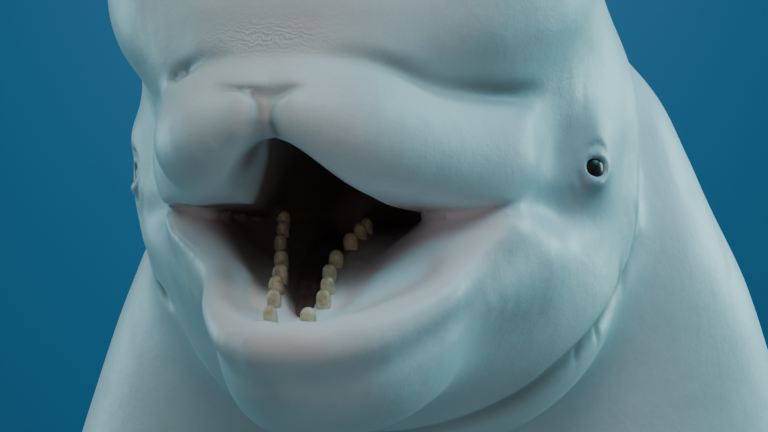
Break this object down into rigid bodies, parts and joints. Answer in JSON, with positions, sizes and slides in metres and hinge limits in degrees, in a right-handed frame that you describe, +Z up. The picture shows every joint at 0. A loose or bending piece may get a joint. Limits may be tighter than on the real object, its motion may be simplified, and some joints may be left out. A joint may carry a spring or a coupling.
{
  "type": "beluga whale display model",
  "caption": "Life-size beluga whale model held upright on a flat base by two rods, head turned to look ahead and mouth open.",
  "frame": {"origin": "middle of the underside of the stand's base", "axes": "+Z up, the whale faces -Y and its left side is +X"},
  "size_m": [1.4394, 2.4271, 3.684],
  "materials": {
    "skin": "smooth white skin with a soft sheen",
    "skin_jaw": "white skin, paler and pinker inside the lips",
    "eye": "wet and dark",
    "tongue": "wet",
    "base": "dark satin paint",
    "rod": "brushed"
  },
  "bodies": {
    "root": {"head": "skin", "lower_jaw": "skin_jaw", "neck": "skin", "chest": "skin", "belly": "skin", "rump": "skin", "tail_stock": "skin", "flipper_left": "skin", "flipper_right": "skin", "fluke_left": "skin", "fluke_right": "skin", "eye_left": "eye", "eye_right": "eye", "tongue": "tongue", "stand_base": "base", "stand_rod_front": "rod", "stand_rod_rear": "rod"}
  },
  "joints": []
}
